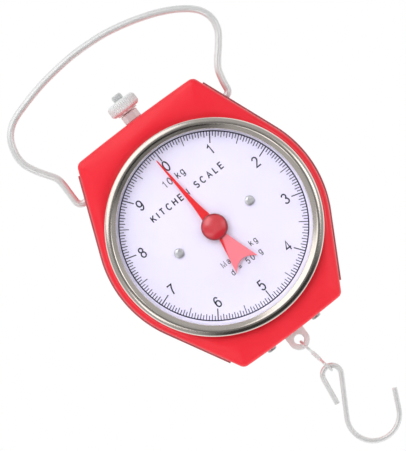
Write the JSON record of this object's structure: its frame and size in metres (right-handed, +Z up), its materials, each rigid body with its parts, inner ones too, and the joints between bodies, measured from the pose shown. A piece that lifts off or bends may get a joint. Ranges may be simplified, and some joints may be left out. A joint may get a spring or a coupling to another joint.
{
  "type": "hanging dial kitchen scale",
  "caption": "Hanging spring scale with a round dial in a flat sheet-steel case, a wire carrying bail, a thumb-nut zero adjuster and an S-hook for the load.",
  "frame": {"origin": "the hang point, on the underside of the bail wire at its top", "axes": "+Z up along the line of pull as the scale hangs, the dial faces -Y, +X to the right of someone reading the dial"},
  "size_m": [0.1271, 0.0419, 0.2579],
  "materials": {
    "red_paint": "gloss stoving enamel on steel sheet",
    "chrome": "bright plated",
    "bright_steel": "bright steel",
    "zinc_plate": "zinc plated",
    "brass": "turned and stamped brass",
    "dial_white": "satin white, printed",
    "clear_lens": "clear, polished",
    "pointer_red": "gloss red",
    "cap_red": "gloss red",
    "spacer_white": "satin white"
  },
  "bodies": {
    "bail": {"bail": "chrome"},
    "housing": {"front_shell": "red_paint", "rear_cover": "red_paint", "bezel": "chrome", "lens": "clear_lens", "lens_spacer": "spacer_white", "dial_plate": "dial_white", "dial_screw_left": "bright_steel", "dial_screw_right": "bright_steel", "dial_post_left": "brass", "dial_post_right": "brass", "frame": "zinc_plate", "movement_plate": "zinc_plate", "pillar_upper_left": "brass", "pillar_upper_right": "brass", "pillar_lower_left": "brass", "pillar_lower_right": "brass", "rack_guide_post": "brass", "front_bush": "brass", "rear_bush": "brass", "zero_collar": "chrome", "collar_nut": "zinc_plate", "cover_screw_left": "bright_steel", "cover_screw_right": "bright_steel"},
    "pointer": {"pointer": "pointer_red", "pointer_cap": "cap_red", "arbor": "bright_steel", "pinion": "brass"},
    "load": {"load_bar": "zinc_plate", "rack": "brass", "rack_pin": "bright_steel"},
    "link": {"wire_link": "chrome"},
    "hook": {"s_hook": "chrome"},
    "zero_nut": {"zero_nut": "chrome"},
    "zero_screw": {"zero_screw": "chrome", "spring_hanger": "zinc_plate", "hanger_pin": "bright_steel", "spring_left": "bright_steel", "spring_right": "bright_steel"}
  },
  "joints": [
    {"name": "bail_hinge", "type": "hinge", "parent": "bail", "child": "housing", "pos_m": [0, 0, -0.0625], "axis": [1, 0, 0], "range_deg": [-100, 100]},
    {"name": "load_slide", "type": "slide", "parent": "housing", "child": "load", "axis": [0, 0, -1], "range_m": [0, 0.01885], "stiffness_N_per_m": 5200, "springref_m": -0.00004, "deforming": ["spring_left", "spring_right"]},
    {"name": "pointer_turn", "type": "hinge", "parent": "housing", "child": "pointer", "pos_m": [0, 0, -0.1128], "axis": [0, 1, 0], "range_deg": [-5, 365]},
    {"name": "link_swing", "type": "hinge", "parent": "load", "child": "link", "pos_m": [0.00064, 0, -0.19039], "axis": [1, 0, 0], "range_deg": [-75, 75]},
    {"name": "hook_swing", "type": "hinge", "parent": "link", "child": "hook", "pos_m": [0.00391, 0, -0.20809], "axis": [0, 1, 0], "range_deg": [-75, 50]},
    {"name": "nut_turn", "type": "hinge", "parent": "housing", "child": "zero_nut", "pos_m": [0, 0, -0.0387], "axis": [0, 0, 1], "range_deg": [-1081, 1081]},
    {"name": "screw_slide", "type": "slide", "parent": "housing", "child": "zero_screw", "axis": [0, 0, 1], "range_m": [-0.003, 0.003]}
  ],
  "couplings": [
    {"joint": "pointer_turn", "follows": "load_slide", "rad_per_m": 333.33},
    {"joint": "nut_turn", "follows": "screw_slide", "rad_per_m": -6283.2}
  ]
}
